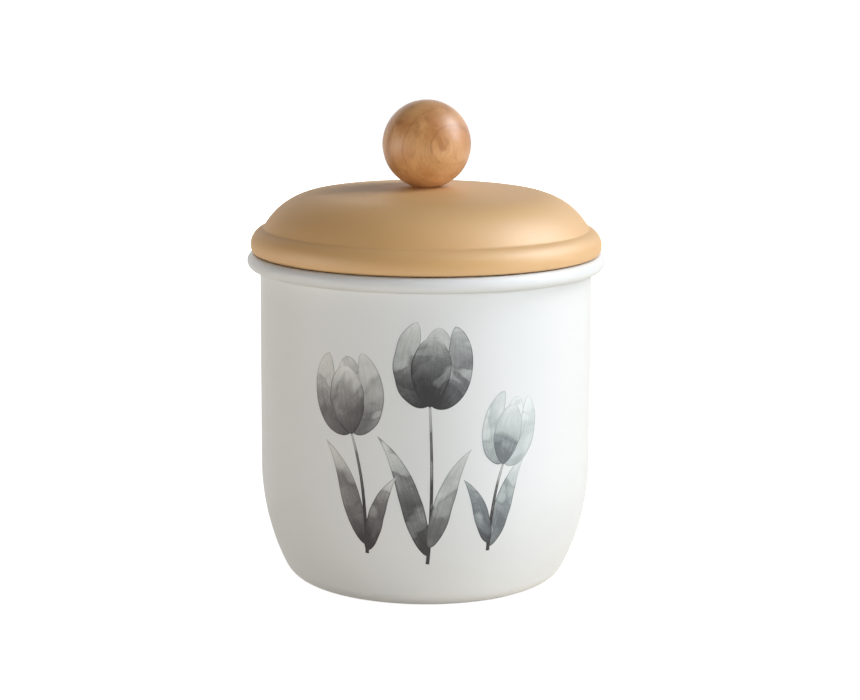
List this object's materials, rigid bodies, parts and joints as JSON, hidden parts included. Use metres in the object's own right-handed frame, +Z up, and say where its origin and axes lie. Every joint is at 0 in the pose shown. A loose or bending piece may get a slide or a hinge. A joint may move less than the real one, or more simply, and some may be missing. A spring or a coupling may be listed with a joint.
{
  "type": "canister",
  "caption": "Round enamelled steel storage canister with a rounded foot and a rolled rim, closed by a domed push-in lid with a soft seal and a wooden ball knob.",
  "frame": {"origin": "middle of the standing ring, on the surface that the canister stands on", "axes": "+Z up along the canister's axis towards the knob, -Y towards the viewer and the print, +X to the right"},
  "size_m": [0.1218, 0.1218, 0.1641],
  "materials": {
    "enamel_white": "gloss white enamel",
    "lid_paint": "satin tan paint",
    "silicone": "matt",
    "wood": "satin clear lacquer",
    "brass": "machined",
    "steel": "zinc plated"
  },
  "bodies": {
    "canister": {"canister_body": "enamel_white"},
    "lid": {"lid_shell": "lid_paint", "lid_collar": "lid_paint", "lid_seal": "silicone", "knob_ball": "wood", "knob_insert": "brass", "knob_screw": "steel", "screw_washer": "steel"}
  },
  "joints": [
    {"name": "lid_lift", "type": "slide", "parent": "canister", "child": "lid", "axis": [0, 0, 1], "range_m": [0, 0.13]}
  ]
}
